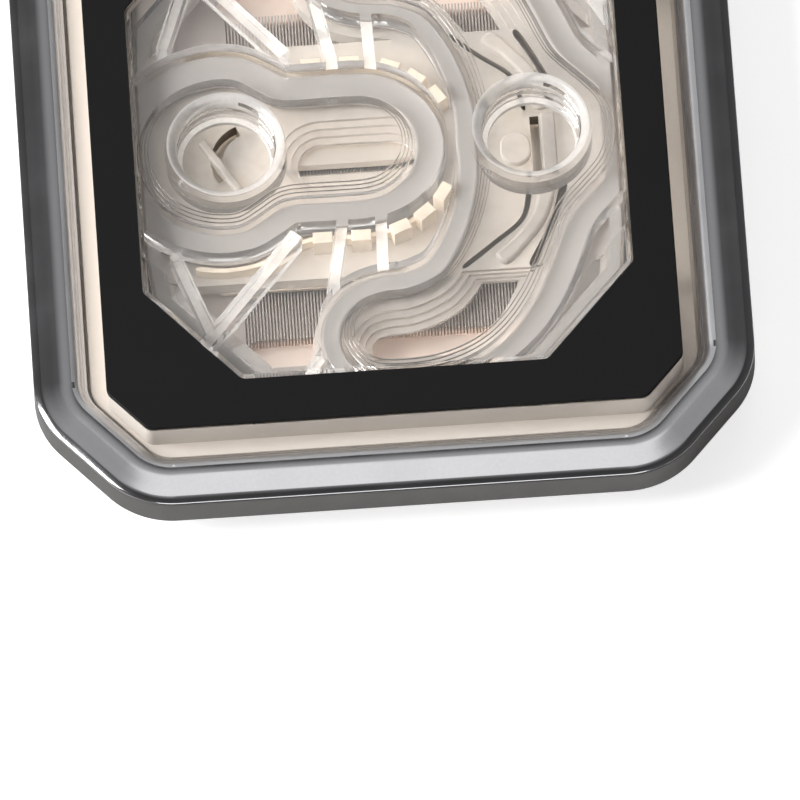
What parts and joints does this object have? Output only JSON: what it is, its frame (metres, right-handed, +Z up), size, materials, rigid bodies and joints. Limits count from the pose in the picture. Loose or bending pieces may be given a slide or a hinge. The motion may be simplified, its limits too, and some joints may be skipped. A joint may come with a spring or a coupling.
{
  "type": "cpu water block",
  "caption": "Liquid cooling block with a clear ported top, a black face plate, a polished clamp frame and a finned copper cold plate under milled flow ducts.",
  "frame": {"origin": "middle of the contact face that lies on the processor, under the middle of the block's plan", "axes": "+Z up from the contact face to the clear window, +X from the inlet port to the outlet port, -Y to the side shown in front"},
  "size_m": [0.08, 0.0862, 0.012],
  "materials": {
    "clear_acrylic": "polished clear acrylic, lightly machined inside",
    "black_mask": "matt black",
    "chrome_plate": "polished chrome plate",
    "matt_nickel": "matt grey, bead blasted",
    "plated_copper": "thinly nickel plated copper",
    "stainless_steel": "satin",
    "natural_acetal": "natural, satin",
    "clear_silicone": "translucent, soft",
    "black_nitrile": "matt"
  },
  "bodies": {
    "root": {"cold_plate": "plated_copper", "jet_plate": "stainless_steel", "flow_guide": "natural_acetal", "duct_gasket": "clear_silicone", "main_o_ring": "black_nitrile", "acrylic_top": "clear_acrylic", "face_mask": "black_mask", "base_frame": "matt_nickel", "polished_frame": "chrome_plate", "cold_plate_screw_1": "stainless_steel", "cold_plate_screw_2": "stainless_steel", "cold_plate_screw_3": "stainless_steel", "cold_plate_screw_4": "stainless_steel", "cold_plate_screw_5": "stainless_steel", "cold_plate_screw_6": "stainless_steel", "cold_plate_screw_7": "stainless_steel", "cold_plate_screw_8": "stainless_steel", "frame_screw_1": "stainless_steel", "frame_screw_2": "stainless_steel", "frame_screw_3": "stainless_steel", "frame_screw_4": "stainless_steel", "frame_screw_5": "stainless_steel", "frame_screw_6": "stainless_steel"}
  },
  "joints": []
}
